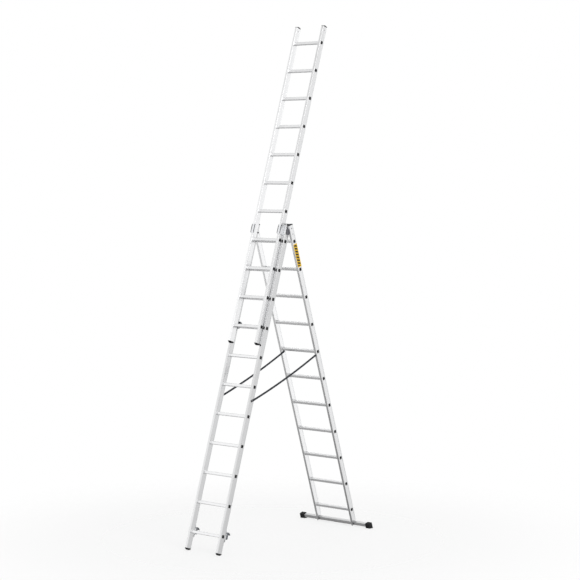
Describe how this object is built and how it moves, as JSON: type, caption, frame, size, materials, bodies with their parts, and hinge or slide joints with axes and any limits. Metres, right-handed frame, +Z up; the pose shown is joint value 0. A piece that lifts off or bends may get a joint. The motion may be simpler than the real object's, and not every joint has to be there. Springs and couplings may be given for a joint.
{
  "type": "combination ladder",
  "caption": "Aluminium combination ladder standing as a stepladder with its top section pulled out, with hooks, safety latches, spreader straps and a floor bar.",
  "frame": {"origin": "on the floor, under the middle of the standing ladder's bounding box", "axes": "+X along the rungs to the right of a climber on the front leg, +Y from the front leg to the rear leg, +Z up"},
  "size_m": [0.89, 1.9718, 4.875],
  "materials": {
    "stile_aluminium": "extruded, satin mill finish",
    "rung_aluminium": "extruded, grooved",
    "bar_aluminium": "extruded, ribbed",
    "cap_plastic": "moulded, fine grain",
    "plug_plastic": "moulded",
    "foot_rubber": "moulded, grooved",
    "hinge_steel": "grey coated steel",
    "zinc_steel": "zinc plated",
    "hook_steel": "zinc plated, darker",
    "bolt_steel": "zinc plated",
    "strap_webbing": "woven polyester webbing",
    "label_film": "printed film"
  },
  "bodies": {
    "rear_section": {"rear_stile_left": "stile_aluminium", "rear_stile_right": "stile_aluminium", "rear_rung_01": "rung_aluminium", "rear_rung_02": "rung_aluminium", "rear_rung_03": "rung_aluminium", "rear_rung_04": "rung_aluminium", "rear_rung_05": "rung_aluminium", "rear_rung_06": "rung_aluminium", "rear_rung_07": "rung_aluminium", "rear_rung_08": "rung_aluminium", "rear_rung_09": "rung_aluminium", "rear_rung_10": "rung_aluminium", "rear_rung_11": "rung_aluminium", "rear_caps": "cap_plastic", "hinge_plates": "hinge_steel", "hinge_pins": "zinc_steel", "stabilizer_bar": "bar_aluminium", "stabilizer_feet": "foot_rubber", "rear_fasteners": "bolt_steel", "strap_left": "strap_webbing", "strap_right": "strap_webbing"},
    "front_section": {"front_stile_left": "stile_aluminium", "front_stile_right": "stile_aluminium", "front_rung_01": "rung_aluminium", "front_rung_02": "rung_aluminium", "front_rung_03": "rung_aluminium", "front_rung_04": "rung_aluminium", "front_rung_05": "rung_aluminium", "front_rung_06": "rung_aluminium", "front_rung_07": "rung_aluminium", "front_rung_08": "rung_aluminium", "front_rung_09": "rung_aluminium", "front_rung_10": "rung_aluminium", "front_rung_11": "rung_aluminium", "front_caps": "cap_plastic", "front_feet": "foot_rubber", "front_hooks": "hook_steel", "guide_brackets": "zinc_steel", "front_fasteners": "bolt_steel"},
    "top_section": {"top_stile_left": "stile_aluminium", "top_stile_right": "stile_aluminium", "top_rung_01": "rung_aluminium", "top_rung_02": "rung_aluminium", "top_rung_03": "rung_aluminium", "top_rung_04": "rung_aluminium", "top_rung_05": "rung_aluminium", "top_rung_06": "rung_aluminium", "top_rung_07": "rung_aluminium", "top_rung_08": "rung_aluminium", "top_rung_09": "rung_aluminium", "top_rung_10": "rung_aluminium", "top_rung_11": "rung_aluminium", "top_caps": "cap_plastic", "top_feet": "foot_rubber", "top_hooks": "hook_steel", "top_fasteners": "bolt_steel"},
    "front_catch_left": {"front_latch_left": "hook_steel"},
    "front_catch_right": {"front_latch_right": "hook_steel"},
    "top_catch_left": {"top_latch_left": "hook_steel"},
    "top_catch_right": {"top_latch_right": "hook_steel"}
  },
  "joints": [
    {"name": "leg_fold", "type": "hinge", "parent": "rear_section", "child": "front_section", "pos_m": [0, 0.00537, 2.90384], "axis": [1, 0, 0], "range_deg": [0, 35], "deforming": ["strap_left", "strap_right"]},
    {"name": "top_extension", "type": "slide", "parent": "front_section", "child": "top_section", "axis": [0, 0.309, 0.9511], "range_m": [-1.96, 0.28]},
    {"name": "front_catch_left_pivot", "type": "hinge", "parent": "front_section", "child": "front_catch_left", "pos_m": [-0.193, -0.8845, 0.12061], "axis": [1, 0, 0], "range_deg": [0, 20], "stiffness_Nm_per_rad": 0.05, "springref_deg": -20.05},
    {"name": "front_catch_right_pivot", "type": "hinge", "parent": "front_section", "child": "front_catch_right", "pos_m": [0.193, -0.8845, 0.12061], "axis": [1, 0, 0], "range_deg": [0, 20], "stiffness_Nm_per_rad": 0.05, "springref_deg": -20.05},
    {"name": "top_catch_left_pivot", "type": "hinge", "parent": "top_section", "child": "top_catch_left", "pos_m": [-0.165, -0.32305, 1.99905], "axis": [1, 0, 0], "range_deg": [0, 20], "stiffness_Nm_per_rad": 0.05, "springref_deg": -20.05},
    {"name": "top_catch_right_pivot", "type": "hinge", "parent": "top_section", "child": "top_catch_right", "pos_m": [0.165, -0.32305, 1.99905], "axis": [1, 0, 0], "range_deg": [0, 20], "stiffness_Nm_per_rad": 0.05, "springref_deg": -20.05}
  ]
}
